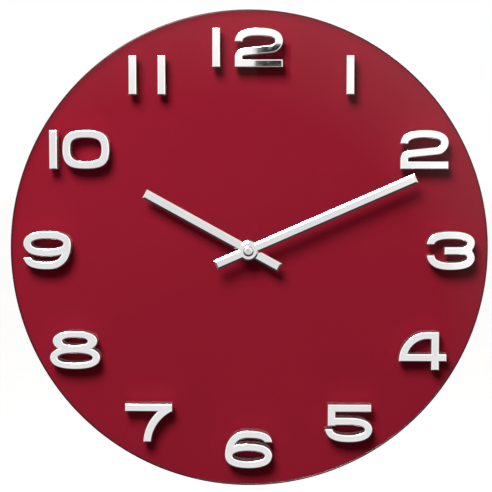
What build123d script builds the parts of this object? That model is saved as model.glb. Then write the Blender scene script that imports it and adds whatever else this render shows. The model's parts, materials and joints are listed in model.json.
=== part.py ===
"""Round glass wall clock with raised chrome numerals, two baton hands and a quartz movement.

X runs to the right, Z up, and the dial faces -Y. The wall is the plane y = 0, and the
hands turn about the Y axis. Every height below is a distance in front of the wall.
"""
import os
from math import cos, degrees, radians, sin

from build123d import *

# Dial
glass_diameter = 350.0
glass_thickness = 4.0
glass_edge_bevel = 0.8
colour_thickness = 0.2
colour_rim_margin = 0.8
dial_hole_clearance = 0.3

# Numerals
numeral_ring_ratio = 0.841  # radius of the numeral ring over the radius of the glass
digit_height = 28.6
digit_width = 35.0
stroke = 5.9
digit_depth = 5.0
digit_rounding = 0.9
adhesive_thickness = 0.4

# Hands
minute_reach_ratio = 0.757  # length from the axis over the radius of the glass
hour_reach_ratio = 0.493
hand_tail = 26.0
hand_width = 7.0
hand_thickness = 1.2
hand_bevel_width = 1.3
hand_bevel_depth = 0.6
hand_over_digits = 1.5  # least gap between the numerals and the minute hand
hub_diameter = 14.6
cap_diameter = 8.0
cap_height = 2.4
minute_rest = 66.4  # degrees clockwise from twelve
hour_rest = 298.8

# Centre stack
bush_diameter = 8.0
bush_bore = 5.0
running_clearance = 0.08  # radial, between turning pieces
arbor_diameter = 3.1
nut_across_flats = 11.0
nut_thickness = 2.4
washer_diameter = 13.5
washer_thickness = 0.6
collet_flange = 1.2
collet_flange_width = 1.2
collet_neck_wall = 0.7
bush_flange_width = 1.0
bush_flange_thickness = 0.5
washer_clearance = 0.1
hand_gap = 0.4  # between stacked pieces that turn at different speeds

# Rear housing
housing_diameter = 160.0
housing_wall = 2.4
movement_recess = 6.5  # from the wall to the back of the movement
window_margin = 4.0
flange_width = 13.0
tape_thickness = 1.0
tape_margin = 1.0
pad_diameter = 12.0
pad_thickness = 1.2
pad_inset = 9.0
housing_back_rounding = 1.5

# Hanger
hanger_width = 30.0
hanger_height = 35.0
hanger_thickness = 1.2
hanger_set_back = 0.2
keyhole_entry = 9.5
keyhole_slot = 4.6
keyhole_drop = 8.0
fixing_diameter = 2.9
fixing_head = 5.0
fixing_edge = 1.2  # from a screw's head to the end of the plate
screw_length = 6.0
cross_slot_width = 0.6
cross_slot_length = 3.0
boss_height = 8.0
boss_wall = 2.0
boss_floor = 1.0
hanger_clearance = 0.2
nail_room = 4.25  # hollow beside the keyhole, behind which the nail's head turns
nail_rise = 2.5

# Movement
movement_size = 56.0
movement_depth = 16.0
case_wall = 1.5
case_front = 1.8
case_corner = 3.0
cover_thickness = 1.2
partition = 1.0
partition_gap = 0.4
gasket_diameter = 40.0
post_diameter = 3.0
bridge_width = 30.5
bridge_height = 27.0
bridge_corner = 2.0
bridge_centre = (1.25, 4.0)
bridge_thickness = 0.8
cover_chamfer = 0.5

# Cell
cell_diameter = 14.3
cell_length = 50.5
sleeve_thickness = 0.15
nub_diameter = 5.5
nub_length = 1.2
cell_clearance = 0.5
cell_front_gap = 0.3
cell_rounding = 0.4
strap_thickness = 0.4
strap_gap = 0.05
strap_top = 9.0
strap_width = 7.0
strap_drop = 4.0
spring_wire = 0.44
spring_pitch = 0.52
spring_rise = 1.0
spring_radius = 4.6
spring_cone = 30.0

# Wheels: teeth and modules of each pair, from the rotor to the hour hand
tooth_addendum = 0.75
tooth_dedendum = 1.15
tooth_root_width = 1.75
tooth_tip_width = 0.70
rotor_teeth = 12
step_teeth = 60
step_leaves = 10
seconds_teeth = 60
seconds_leaves = 8
third_teeth = 60
third_leaves = 8
centre_teeth = 64
cannon_leaves = 12
minute_teeth = 36
minute_leaves = 10
hour_teeth = 40
knob_leaves = 12
rotor_module = 0.22
step_module = 0.24
third_spacing = 9.18
motion_spacing = 8.4
wheel_thickness = 0.8
clutch_height = 0.7
clutch_leaf = 0.2
clutch_ring_width = 0.6
clutch_arm_length = 3.4
clutch_arm_width = 1.0
clutch_arm_offset = 2.0
pinion_overhang = 0.2
layer_gap = 0.5
pivot_diameter = 0.8
pivot_depth = 0.7
pivot_clearance = 0.05
staff_diameter = 1.3
lower_arbor = 2.0
end_shake = 0.3  # from a staff's shoulder to the plate
bridge_shake = 0.2
centre_lift = 0.2
middle_gap = 0.05  # half the gap between the ends of the two centre staffs
hole_end_gap = 0.2
cover_hole_gap = 0.1

# Motor and circuit
magnet_diameter = 5.6
magnet_height = 2.4
stator_thickness = 1.2
stator_length = 30.0
stator_width = 7.2
coil_length = 19.0
coil_radius = 3.2
coil_rise = 7.6  # from the rotor's axis up to the coil's axis
core_thickness = 0.8
core_width = 2.4
stator_corner = 1.0
stator_arm_width = 4.0
stator_arm_end = 2.0  # from the coil's axis to the end of an arm
flange_thickness = 0.8
tube_diameter = 3.4
winding_inset = 0.3
motor_screw_diameter = 1.6
motor_screw_head = 3.0
motor_screw_head_height = 0.9
motor_screw_slot_width = 0.5
motor_screw_slot_depth = 0.4
board_size = 13.5
board_thickness = 1.0
board_margin = 0.5
board_rise = 2.2
board_post_inset = 4.0
chip_diameter = 5.6
chip_height = 1.1
chip_rounding = 0.9
chip_offset = 2.5
crystal_diameter = 2.0
crystal_length = 6.0
crystal_rounding = 0.3
knob_diameter = 9.0
knob_height = 3.7
knob_ridges = 16
knob_groove = 0.9  # width of each groove of the grip
knob_gap = 0.6

# Derived heights from the wall
glass_radius = glass_diameter / 2
housing_radius = housing_diameter / 2
movement_back = movement_recess
housing_depth = movement_recess + movement_depth
colour_back = housing_depth + tape_thickness
glass_back = colour_back + colour_thickness
glass_front = glass_back + glass_thickness
digit_back = glass_front + adhesive_thickness
nut_back = glass_front + washer_thickness
bush_front = nut_back + nut_thickness + hand_gap / 2
hour_collet_back = bush_front + hand_gap
hour_blade_back = hour_collet_back + collet_flange
hour_blade_front = hour_blade_back + hand_thickness
minute_collet_back = hour_blade_front + hand_gap
digits_clear = digit_back + digit_depth + hand_over_digits
minute_blade_back = max(minute_collet_back + collet_flange, digits_clear)
minute_blade_front = minute_blade_back + hand_thickness

# Derived sizes of the centre stack
pipe_diameter = bush_bore - 2 * running_clearance
pipe_bore = arbor_diameter + 2 * running_clearance
dial_hole = bush_diameter + 2 * dial_hole_clearance
case_inner_front = housing_depth - case_front
case_back = movement_back + cover_thickness
inner_half = movement_size / 2 - case_wall

# Derived layout of the cell's bay
bay_width = cell_diameter + 2 * cell_clearance
bay_bottom = -inner_half
bay_top = bay_bottom + bay_width
cell_z = bay_bottom + bay_width / 2
cell_height = case_inner_front - cell_front_gap - cell_diameter / 2
strap_face = inner_half - strap_gap - strap_thickness
cell_right = strap_face - strap_gap
cell_left = cell_right - cell_length

# Derived layers of the wheels
step_layer = case_back + layer_gap + end_shake
seconds_layer = step_layer + wheel_thickness + layer_gap + 2 * pinion_overhang
third_layer = seconds_layer + wheel_thickness + layer_gap + 2 * pinion_overhang
bridge_back = third_layer + wheel_thickness + pinion_overhang + layer_gap
bridge_front = bridge_back + bridge_thickness
centre_layer = bridge_front + 2 * pinion_overhang + centre_lift
clutch_layer = centre_layer + wheel_thickness
minute_layer = clutch_layer + clutch_height + pinion_overhang
hour_layer = minute_layer + wheel_thickness + layer_gap + 2 * pinion_overhang


def at_height(height):
    """The plane parallel to the wall, this far in front of it."""
    return Plane.XZ.offset(height)


def on_ring(radius, angle):
    """A point of a ring about the origin, by its angle anticlockwise from +X."""
    return radius * cos(radians(angle)), radius * sin(radians(angle))


def beside(centre, distance, angle):
    """A point this far from another one, in the direction of the angle."""
    step_x, step_z = on_ring(distance, angle)
    return centre[0] + step_x, centre[1] + step_z


def spacing(module, wheel, pinion):
    """Distance between the axes of two meshing wheels."""
    return module * (wheel + pinion) / 2


def gear_points(teeth, module, turn):
    """Corners of a toothed outline with its first tooth at the angle turn."""
    pitch_radius = module * teeth / 2
    tip = pitch_radius + tooth_addendum * module
    root = pitch_radius - tooth_dedendum * module
    root_half = degrees(tooth_root_width * module / 2 / root)
    tip_half = degrees(tooth_tip_width * module / 2 / tip)
    corners = []
    for tooth in range(teeth):
        middle = turn + 360 * tooth / teeth
        corners.append(on_ring(root, middle - root_half))
        corners.append(on_ring(tip, middle - tip_half))
        corners.append(on_ring(tip, middle + tip_half))
        corners.append(on_ring(root, middle + root_half))
    return corners


def meshed_turn(driver_teeth, driver_turn, direction, driven_teeth):
    """Angle of the driven wheel's first tooth, so that its gap faces the driver's tooth."""
    driver_phase = (direction - driver_turn) * driver_teeth / 360
    driven_phase = 0.5 - driver_phase
    return direction + 180 - driven_phase * 360 / driven_teeth


def toothed(axis, back, front, teeth, module, turn, bore=0.0):
    """A toothed disc or pinion between two heights, with an optional bore."""
    with BuildPart() as disc:
        with BuildSketch(at_height(back)):
            with BuildLine(Location(axis)):
                Polyline(*gear_points(teeth, module, turn), close=True)
            make_face()
            if bore:
                with Locations(axis):
                    Circle(bore / 2, mode=Mode.SUBTRACT)
        extrude(amount=front - back)
    return disc.part


def staff(axis, back, front, diameter):
    """A round rod between two heights."""
    with BuildPart() as rod:
        with BuildSketch(at_height(back)):
            with Locations(axis):
                Circle(diameter / 2)
        extrude(amount=front - back)
    return rod.part


def joined(*pieces):
    """One piece made of several that run into each other."""
    with BuildPart() as whole:
        for piece in pieces:
            add(piece)
    return whole


# Axes of the train, seen from the front
third_module = 2 * third_spacing / (seconds_leaves + third_teeth)
centre_module = 2 * third_spacing / (third_leaves + centre_teeth)
cannon_module = 2 * motion_spacing / (cannon_leaves + minute_teeth)
hour_module = 2 * motion_spacing / (minute_leaves + hour_teeth)
centre_axis = (0.0, 0.0)
third_angle = 180.0
step_angle = 75.0
rotor_angle = 60.0
minute_angle = 0.0
knob_angle = 20.0
third_axis = beside(centre_axis, third_spacing, third_angle)
step_axis = beside(centre_axis, spacing(step_module, seconds_teeth, step_leaves), step_angle)
rotor_axis = beside(step_axis, spacing(rotor_module, step_teeth, rotor_teeth), rotor_angle)
minute_axis = beside(centre_axis, motion_spacing, minute_angle)
knob_axis = beside(minute_axis, spacing(cannon_module, minute_teeth, knob_leaves), knob_angle)

# Turns that bring each pair of wheels into mesh. A wheel and its own pinion share a turn.
third_turn = meshed_turn(centre_teeth, 0.0, third_angle, third_leaves)
seconds_turn = meshed_turn(third_teeth, third_turn, third_angle + 180, seconds_leaves)
step_turn = meshed_turn(seconds_teeth, seconds_turn, step_angle, step_leaves)
rotor_turn = meshed_turn(step_teeth, step_turn, rotor_angle, rotor_teeth)
minute_turn = meshed_turn(cannon_leaves, 0.0, minute_angle, minute_teeth)
hour_turn = meshed_turn(minute_leaves, minute_turn, minute_angle + 180, hour_teeth)
knob_turn = meshed_turn(minute_teeth, minute_turn, knob_angle, knob_leaves)

os.makedirs("parts", exist_ok=True)


def save(piece, name):
    """Labels a finished piece and writes its file."""
    piece.part.label = name
    export_step(piece.part, f"parts/{name}.step")


# ---- Dial -------------------------------------------------------------------------------

with BuildPart() as glass_dial:
    with BuildSketch(at_height(glass_back)):
        Circle(glass_radius)
        Circle(dial_hole / 2, mode=Mode.SUBTRACT)
    extrude(amount=glass_thickness)
    rim_edges = glass_dial.edges().filter_by(GeomType.CIRCLE).sort_by(SortBy.RADIUS)[-2:]
    chamfer(rim_edges, length=glass_edge_bevel)
save(glass_dial, "glass_dial")

with BuildPart() as colour_layer:
    with BuildSketch(at_height(colour_back)):
        Circle(glass_radius - colour_rim_margin)
        Circle(dial_hole / 2, mode=Mode.SUBTRACT)
    extrude(amount=colour_thickness)
save(colour_layer, "colour_layer")

# ---- Numerals ---------------------------------------------------------------------------

# Each digit is a stroke of constant width along a centreline in this half width and height,
# and its bends, slopes and ends are fractions of them. The fullness of a curve says how square
# it is.
half_w = (digit_width - stroke) / 2
half_h = (digit_height - stroke) / 2
curve_fullness = 0.66
eye_fullness = 0.6
waist_rounding = 1.2


def digit_one():
    with BuildSketch() as glyph:
        Rectangle(stroke, digit_height)
    return glyph.sketch


def oval(width, height, fullness):
    """A closed oval, squarer the fuller it is; an ellipse has a fullness of about 0.55."""
    right = width / 2
    top = height / 2
    with BuildSketch() as shape:
        with BuildLine():
            Bezier((right, 0), (right, fullness * top), (fullness * right, top), (0, top))
            Bezier((0, top), (-fullness * right, top), (-right, fullness * top), (-right, 0))
            Bezier((-right, 0), (-right, -fullness * top), (-fullness * right, -top), (0, -top))
            Bezier((0, -top), (fullness * right, -top), (right, -fullness * top), (right, 0))
        make_face()
    return shape.sketch


def quarter_turn(side_x, side_z, crest_x, crest_z):
    """A bend from upright at a side of a digit to level at its crest or foot."""
    rise = crest_z - side_z
    run = crest_x - side_x
    Bezier(
        (side_x, side_z),
        (side_x, side_z + curve_fullness * rise),
        (crest_x - curve_fullness * run, crest_z),
        (crest_x, crest_z),
    )


def digit_two():
    terminal = 0.36 * half_h
    shoulder = 0.44 * half_h
    slope_top = Vector(0.6 * half_w, -0.09 * half_h)
    slope_foot = Vector(-0.6 * half_w, -0.25 * half_h)
    along = (slope_top - slope_foot).normalized()
    leg_top = -0.62 * half_h
    with BuildSketch() as glyph:
        with BuildLine():
            quarter_turn(-half_w, terminal, 0, half_h)
            quarter_turn(half_w, shoulder, 0, half_h)
            Bezier(
                (half_w, shoulder),
                (half_w, 0.12 * half_h),
                slope_top + along * 0.25 * half_w,
                slope_top,
            )
            Line(slope_top, slope_foot)
            Bezier(
                slope_foot,
                slope_foot - along * 0.25 * half_w,
                (-half_w, leg_top + 0.25 * half_h),
                (-half_w, leg_top),
            )
            Line((-half_w, leg_top), (-half_w, -half_h))
        trace(line_width=stroke)
        with Locations((0, -half_h)):
            Rectangle(digit_width, stroke)
    return glyph.sketch


def digit_three():
    upper_terminal = 0.39 * half_h
    lower_terminal = -0.27 * half_h
    bowl_middle = 0.5 * half_h
    arm_start = 0.5 * half_w
    arm_end = -0.32 * half_w
    with BuildSketch() as glyph:
        for side, terminal in ((1, upper_terminal), (-1, lower_terminal)):
            with BuildLine():
                quarter_turn(-half_w, terminal, 0, side * half_h)
                quarter_turn(half_w, side * bowl_middle, 0, side * half_h)
                quarter_turn(half_w, side * bowl_middle, arm_start, 0)
                Line((arm_start, 0), (arm_end, 0))
            trace(line_width=stroke)
        waist = glyph.vertices().filter_by_position(Axis.Y, -0.01, 0.01).sort_by(Axis.X)[-1]
        fillet(waist, radius=waist_rounding)
    return glyph.sketch


def digit_four():
    left = -digit_width / 2
    top = digit_height / 2
    bar_low = -0.55 * top
    bar_high = bar_low + stroke
    stem_left = 0.42 * half_w
    stem_right = stem_left + stroke
    shoulder = 0.15 * half_w
    inner_left = left + 1.15 * stroke
    inner_top = top - stroke
    swell = 0.7
    with BuildSketch() as glyph:
        with BuildLine():
            ThreePointArc(
                (left, bar_low),
                (shoulder - swell * (shoulder - left), bar_low + swell * (top - bar_low)),
                (shoulder, top),
            )
            Polyline(
                (shoulder, top),
                (stem_right, top),
                (stem_right, bar_high),
                (-left, bar_high),
                (-left, bar_low),
                (stem_right, bar_low),
                (stem_right, -top),
                (stem_left, -top),
                (stem_left, bar_low),
                (left, bar_low),
            )
        make_face()
        with BuildLine():
            ThreePointArc(
                (inner_left, bar_high),
                (
                    stem_left - swell * (stem_left - inner_left),
                    bar_high + swell * (inner_top - bar_high),
                ),
                (stem_left, inner_top),
            )
            Polyline((stem_left, inner_top), (stem_left, bar_high), (inner_left, bar_high))
        make_face(mode=Mode.SUBTRACT)
    return glyph.sketch


def digit_five():
    bowl_top = 0.14 * half_h
    bowl_start = -0.85 * half_w
    bowl_middle = -0.42 * half_h
    terminal = -0.34 * half_h
    bar_width = 0.92 * digit_width
    bar_middle = 0.04 * half_w
    stem_low = bowl_top - 0.62 * stroke
    with BuildSketch() as glyph:
        with BuildLine():
            Line((bowl_start, bowl_top), (0, bowl_top))
            quarter_turn(half_w, bowl_middle, 0, bowl_top)
            quarter_turn(half_w, bowl_middle, 0, -half_h)
            quarter_turn(-half_w, terminal, 0, -half_h)
        trace(line_width=stroke)
        with Locations((bar_middle, half_h)):
            Rectangle(bar_width, stroke)
        with Locations((bar_middle - bar_width / 2, stem_low)):
            Rectangle(stroke, half_h - stem_low, align=(Align.MIN, Align.MIN))
    return glyph.sketch


def digit_six():
    terminal = 0.46 * half_h
    bowl_top = 0.15 * half_h
    bowl_height = bowl_top + half_h
    bowl_z = (bowl_top - half_h) / 2
    with BuildSketch() as glyph:
        with Locations((0, bowl_z)):
            add(oval(digit_width, bowl_height + stroke, curve_fullness))
            add(oval(2 * half_w - stroke, bowl_height - stroke, eye_fullness), mode=Mode.SUBTRACT)
        with BuildLine():
            quarter_turn(half_w, terminal, 0, half_h)
            quarter_turn(-half_w, bowl_z, 0, half_h)
        trace(line_width=stroke)
    return glyph.sketch


def digit_seven():
    right = digit_width / 2
    bar_low = digit_height / 2 - stroke
    bar_end = 0.36 * right
    foot = -digit_height / 2
    foot_right = 0.1 * right
    outer_waist = (0.45 * right, 0.04 * right)
    inner_waist = (-0.02 * right, -0.02 * right)
    with BuildSketch() as glyph:
        with Locations((0, half_h)):
            Rectangle(digit_width, stroke)
        with BuildLine():
            ThreePointArc((right, bar_low), outer_waist, (foot_right, foot))
            Line((foot_right, foot), (foot_right - stroke, foot))
            ThreePointArc((foot_right - stroke, foot), inner_waist, (bar_end, bar_low))
            Line((bar_end, bar_low), (right, bar_low))
        make_face()
    return glyph.sketch


def digit_eight():
    upper_height = 0.54 * digit_height
    lower_height = 0.60 * digit_height
    upper_z = (digit_height - upper_height) / 2
    lower_z = (lower_height - digit_height) / 2
    wall = 0.86 * stroke
    upper_loop = (0, upper_z, 0.94 * digit_width, upper_height)
    lower_loop = (0, lower_z, 1.06 * digit_width, lower_height)
    upper_eye = (0, upper_z, 0.52 * digit_width, upper_height - 2 * wall)
    lower_eye = (0, lower_z, 0.72 * digit_width, lower_height - 2 * wall)
    with BuildSketch() as glyph:
        for x, z, width, height in (upper_loop, lower_loop):
            with Locations((x, z)):
                add(oval(width, height, curve_fullness))
        for x, z, width, height in (upper_eye, lower_eye):
            with Locations((x, z)):
                add(oval(width, height, eye_fullness), mode=Mode.SUBTRACT)
    return glyph.sketch


def digit_nine():
    with BuildSketch() as glyph:
        with Locations(Location((0, 0), 180)):
            add(digit_six())
    return glyph.sketch


def digit_zero():
    width = 0.98 * digit_width
    inner_width = width - 2 * stroke
    inner_height = digit_height - 2 * stroke
    squareness = 0.77
    with BuildSketch() as glyph:
        add(oval(width, digit_height, squareness))
        add(oval(inner_width, inner_height, squareness), mode=Mode.SUBTRACT)
    return glyph.sketch


# The digits of each numeral, with each digit's shift to the right of the numeral's place
numeral_digits = {
    1: ((digit_one, 0.0),),
    2: ((digit_two, 0.0),),
    3: ((digit_three, 0.0),),
    4: ((digit_four, 0.0),),
    5: ((digit_five, 0.0),),
    6: ((digit_six, 0.0),),
    7: ((digit_seven, 0.0),),
    8: ((digit_eight, 0.0),),
    9: ((digit_nine, 0.0),),
    10: ((digit_one, -0.42 * digit_width), (digit_zero, 0.26 * digit_width)),
    11: ((digit_one, -0.3 * digit_width), (digit_one, 0.3 * digit_width)),
    12: ((digit_one, -0.67 * digit_width), (digit_two, 0.21 * digit_width)),
}
numeral_radius = numeral_ring_ratio * glass_radius


def flattened(outline):
    """The same outline as one flat face, without the seams between its strokes."""
    face = outline.face()
    return Face(face.outer_wire(), face.inner_wires())


def digit_places(number):
    """The flat outline and place of each digit of a numeral."""
    ring_x, ring_z = on_ring(numeral_radius, 90 - 30 * number)
    return [
        (flattened(shape()), (ring_x + shift, ring_z)) for shape, shift in numeral_digits[number]
    ]


for number in numeral_digits:
    with BuildPart() as numeral:
        with BuildSketch(at_height(digit_back)):
            for outline, place in digit_places(number):
                with Locations(place):
                    add(outline)
        extrude(amount=digit_depth)
        fillet(numeral.faces().filter_by(Axis.Y).group_by(Axis.Y)[0].edges(), radius=digit_rounding)
    save(numeral, f"numeral_{number}")

with BuildPart() as numeral_adhesive:
    with BuildSketch(at_height(glass_front)):
        for number in numeral_digits:
            for outline, place in digit_places(number):
                with Locations(place):
                    add(outline)
    extrude(amount=adhesive_thickness)
save(numeral_adhesive, "numeral_adhesive")

# ---- Hands ------------------------------------------------------------------------------


def hand_blade(back, reach, rest, hole):
    """A flat baton with a tail and a round hub, its front edges bevelled."""
    with BuildPart() as blade:
        with BuildSketch(at_height(back)):
            with Locations(Location((0, 0), 90 - rest)):
                with Locations(((reach - hand_tail) / 2, 0)):
                    Rectangle(reach + hand_tail, hand_width)
            Circle(hub_diameter / 2)
            Circle(hole / 2, mode=Mode.SUBTRACT)
        extrude(amount=hand_thickness)
        front = blade.faces().sort_by(Axis.Y)[0]
        chamfer(
            front.outer_wire().edges(),
            length=hand_bevel_width,
            length2=hand_bevel_depth,
            reference=front,
        )
    return blade


def hand_collet(back, flange_front, blade_front, bore, neck):
    """The riveted collet that grips a hand on its arbor."""
    with BuildPart() as collet:
        with BuildSketch(at_height(back)):
            Circle(neck / 2 + collet_flange_width)
            Circle(bore / 2, mode=Mode.SUBTRACT)
        extrude(amount=flange_front - back)
        with BuildSketch(at_height(flange_front)):
            Circle(neck / 2)
            Circle(bore / 2, mode=Mode.SUBTRACT)
        extrude(amount=blade_front - flange_front)
    return collet


hour_neck = pipe_diameter + 2 * collet_neck_wall
minute_neck = arbor_diameter + 2 * collet_neck_wall
hour_reach = hour_reach_ratio * glass_radius
minute_reach = minute_reach_ratio * glass_radius

hour_hand = hand_blade(hour_blade_back, hour_reach, hour_rest, hour_neck)
save(hour_hand, "hour_hand")
hour_hand_collet = hand_collet(
    hour_collet_back, hour_blade_back, hour_blade_front, pipe_diameter, hour_neck
)
save(hour_hand_collet, "hour_hand_collet")

minute_hand = hand_blade(minute_blade_back, minute_reach, minute_rest, minute_neck)
save(minute_hand, "minute_hand")
minute_hand_collet = hand_collet(
    minute_blade_back - collet_flange,
    minute_blade_back,
    minute_blade_front,
    arbor_diameter,
    minute_neck,
)
save(minute_hand_collet, "minute_hand_collet")

stub_diameter = 0.7 * arbor_diameter
stub_length = 0.45 * cap_height
with BuildPart() as hand_cap:
    with BuildSketch(at_height(minute_blade_front)):
        Circle(cap_diameter / 2)
    extrude(amount=cap_height)
    fillet(hand_cap.edges().sort_by(Axis.Y)[0], radius=0.8 * cap_height)
    with BuildSketch(at_height(minute_blade_front)):
        Circle(stub_diameter / 2)
    extrude(amount=stub_length, mode=Mode.SUBTRACT)
save(hand_cap, "hand_cap")

# ---- Dial fixing ------------------------------------------------------------------------

with BuildPart() as dial_washer:
    with BuildSketch(at_height(glass_front)):
        Circle(washer_diameter / 2)
        Circle(bush_diameter / 2 + washer_clearance, mode=Mode.SUBTRACT)
    extrude(amount=washer_thickness)
save(dial_washer, "dial_washer")

with BuildPart() as dial_nut:
    with BuildSketch(at_height(nut_back)):
        RegularPolygon(nut_across_flats / 2, 6, major_radius=False)
        Circle(bush_diameter / 2, mode=Mode.SUBTRACT)
    extrude(amount=nut_thickness)
save(dial_nut, "dial_nut")

with BuildPart() as movement_gasket:
    with BuildSketch(at_height(housing_depth)):
        Circle(gasket_diameter / 2)
        Circle(bush_diameter / 2 + washer_clearance, mode=Mode.SUBTRACT)
    extrude(amount=tape_thickness)
save(movement_gasket, "movement_gasket")

# ---- Rear housing -----------------------------------------------------------------------

window_half = movement_size / 2 + window_margin
frame_half = window_half + housing_wall
shell_radius = housing_radius - housing_wall
hanger_z = (frame_half + shell_radius) / 2
hanger_hole_width = keyhole_entry + 2 * nail_room
hanger_hole_height = keyhole_entry + keyhole_drop + 2 * nail_rise
fixing_z = hanger_height / 2 - fixing_head / 2 - fixing_edge
fixing_places = ((0, hanger_z - fixing_z), (0, hanger_z + fixing_z))
hanger_back = hanger_set_back
hanger_seat = hanger_set_back + hanger_thickness
head_height = (fixing_head - fixing_diameter) / 2
pad_places = [on_ring(housing_radius - pad_inset, angle) for angle in (45, 135, 225, 315)]

with BuildPart() as rear_housing:
    with BuildSketch(at_height(0)):
        Circle(housing_radius)
        RectangleRounded(2 * window_half, 2 * window_half, case_corner, mode=Mode.SUBTRACT)
        with Locations((0, hanger_z)):
            Rectangle(hanger_hole_width, hanger_hole_height, mode=Mode.SUBTRACT)
    extrude(amount=housing_wall)
    with BuildSketch(at_height(housing_wall)):
        Circle(housing_radius)
        Circle(shell_radius, mode=Mode.SUBTRACT)
        RectangleRounded(2 * frame_half, 2 * frame_half, case_corner + housing_wall)
        RectangleRounded(2 * window_half, 2 * window_half, case_corner, mode=Mode.SUBTRACT)
    extrude(amount=housing_depth - housing_wall)
    with BuildSketch(at_height(housing_depth - housing_wall)):
        Circle(housing_radius)
        Circle(housing_radius - flange_width, mode=Mode.SUBTRACT)
    extrude(amount=housing_wall)
    with BuildSketch(at_height(housing_wall)):
        with Locations(*fixing_places):
            Circle(fixing_diameter / 2 + boss_wall)
    extrude(amount=boss_height - housing_wall)
    with BuildSketch(at_height(0)):
        with Locations((0, hanger_z)):
            Rectangle(hanger_width + 2 * hanger_clearance, hanger_height + 2 * hanger_clearance)
    extrude(amount=hanger_seat, mode=Mode.SUBTRACT)
    with BuildSketch(at_height(0)):
        with Locations(*pad_places):
            Circle(pad_diameter / 2)
    extrude(amount=pad_thickness, mode=Mode.SUBTRACT)
    with BuildSketch(at_height(hanger_seat)):
        with Locations(*fixing_places):
            Circle(fixing_diameter / 2)
    extrude(amount=boss_height - hanger_seat - boss_floor, mode=Mode.SUBTRACT)
    outer_back = rear_housing.edges().filter_by(GeomType.CIRCLE).group_by(Axis.Y)[-1]
    fillet(outer_back.sort_by(SortBy.RADIUS)[-1], radius=housing_back_rounding)
save(rear_housing, "rear_housing")

with BuildPart() as housing_tape:
    with BuildSketch(at_height(housing_depth)):
        Circle(housing_radius - tape_margin)
        Circle(housing_radius - flange_width + tape_margin, mode=Mode.SUBTRACT)
    extrude(amount=tape_thickness)
save(housing_tape, "housing_tape")

entry_z = hanger_z - keyhole_drop / 2
slot_z = entry_z + keyhole_drop
with BuildPart() as hanger_plate:
    with BuildSketch(at_height(hanger_back)):
        with Locations((0, hanger_z)):
            RectangleRounded(hanger_width, hanger_height, case_corner)
        with Locations((0, entry_z)):
            Circle(keyhole_entry / 2, mode=Mode.SUBTRACT)
            Rectangle(
                keyhole_slot, keyhole_drop, align=(Align.CENTER, Align.MIN), mode=Mode.SUBTRACT
            )
        with Locations((0, slot_z)):
            Circle(keyhole_slot / 2, mode=Mode.SUBTRACT)
    extrude(amount=hanger_thickness)
    with BuildSketch(at_height(hanger_back)):
        with Locations(*fixing_places):
            Circle(fixing_diameter / 2)
    extrude(amount=hanger_thickness, mode=Mode.SUBTRACT)
    with BuildSketch(at_height(hanger_back)):
        with Locations(*fixing_places):
            Circle(fixing_head / 2)
    extrude(amount=head_height, taper=45, mode=Mode.SUBTRACT)
save(hanger_plate, "hanger_plate")

with BuildPart() as hanger_screws:
    with BuildSketch(at_height(hanger_back)):
        with Locations(*fixing_places):
            Circle(fixing_head / 2)
    extrude(amount=head_height, taper=45)
    with BuildSketch(at_height(hanger_back + head_height)):
        with Locations(*fixing_places):
            Circle(fixing_diameter / 2)
    extrude(amount=screw_length - head_height)
    with BuildSketch(at_height(hanger_back)):
        with Locations(*fixing_places):
            Rectangle(cross_slot_length, cross_slot_width)
            Rectangle(cross_slot_width, cross_slot_length)
    extrude(amount=cross_slot_width, mode=Mode.SUBTRACT)
save(hanger_screws, "hanger_screws")

with BuildPart() as wall_pads:
    with BuildSketch(at_height(0)):
        with Locations(*pad_places):
            Circle(pad_diameter / 2)
    extrude(amount=pad_thickness)
save(wall_pads, "wall_pads")

# ---- Movement case ----------------------------------------------------------------------

post_radius = post_diameter / 2
post_places = ((-12.0, 14.0), (13.5, 12.0), (14.5, -7.5))
board_z = inner_half - board_size / 2 - board_margin
board_x = -board_z
board_back = case_back + board_rise
board_posts = tuple((board_x + way, board_z + way) for way in (-board_post_inset, board_post_inset))
partition_half = strap_face - partition_gap
hole_radius = pivot_diameter / 2 + pivot_clearance

with BuildPart() as movement_case:
    with BuildSketch(at_height(case_back)):
        RectangleRounded(movement_size, movement_size, case_corner)
    extrude(amount=movement_depth - cover_thickness)
    with BuildSketch(at_height(case_back)):
        RectangleRounded(2 * inner_half, 2 * inner_half, case_corner - case_wall)
    extrude(amount=case_inner_front - case_back, mode=Mode.SUBTRACT)
    with BuildSketch(at_height(case_back)):
        with Locations((0, bay_top)):
            Rectangle(2 * partition_half, partition, align=(Align.CENTER, Align.MIN))
    extrude(amount=case_inner_front - case_back)
    with BuildSketch(at_height(bridge_front)):
        with Locations(*post_places):
            Circle(post_radius)
    extrude(amount=case_inner_front - bridge_front)
    with BuildSketch(at_height(board_back + board_thickness)):
        with Locations(*board_posts):
            Circle(post_radius)
    extrude(amount=case_inner_front - board_back - board_thickness)
    with BuildSketch(at_height(case_inner_front)):
        Circle(bush_diameter / 2)
    extrude(amount=case_front, mode=Mode.SUBTRACT)
    with BuildSketch(at_height(case_inner_front)):
        with Locations(third_axis, minute_axis, knob_axis):
            Circle(hole_radius)
    extrude(amount=pivot_depth + hole_end_gap, mode=Mode.SUBTRACT)
save(movement_case, "movement_case")

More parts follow.
